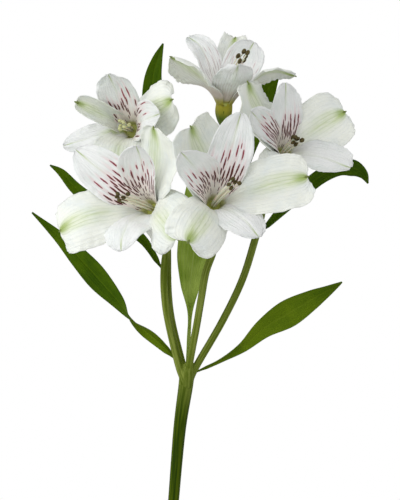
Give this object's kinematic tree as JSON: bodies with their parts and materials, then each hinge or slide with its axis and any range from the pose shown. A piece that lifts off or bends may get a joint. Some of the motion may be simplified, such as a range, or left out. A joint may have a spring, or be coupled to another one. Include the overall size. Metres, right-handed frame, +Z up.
{
  "type": "potted peruvian lily",
  "caption": "Peruvian lily in a plain clay pot: an upright green stem with a fan of stalks, open white blooms with dark red dashes, and long green leaves.",
  "frame": {"origin": "centre of the pot's underside", "axes": "+Z up along the stem; the blooms face -Y, the front; +X is to the right seen from the front"},
  "size_m": [0.1696, 0.1304, 0.3989],
  "materials": {
    "terracotta": "matte fired clay",
    "soil": "loose potting compost",
    "stem": "smooth green stem",
    "leaf": "satin leaf with parallel veins",
    "pale_leaf": "grey-green leaf underside",
    "petal": "soft white petal",
    "stamen": "thin stamens"
  },
  "bodies": {
    "root": {"pot": "terracotta", "soil": "soil", "flower_stem": "stem", "leaf_left": "leaf", "leaf_right": "leaf", "leaf_middle": "pale_leaf", "leaf_upper_left": "leaf", "bract_left": "leaf", "bract_right": "leaf", "bract_back": "leaf", "petals_lower_left": "petal", "petals_middle": "petal", "petals_upper_left": "petal", "petals_right": "petal", "petals_top": "petal", "stamens_lower_left": "stamen", "stamens_middle": "stamen", "stamens_upper_left": "stamen", "stamens_right": "stamen", "stamens_top": "stamen"}
  },
  "joints": []
}
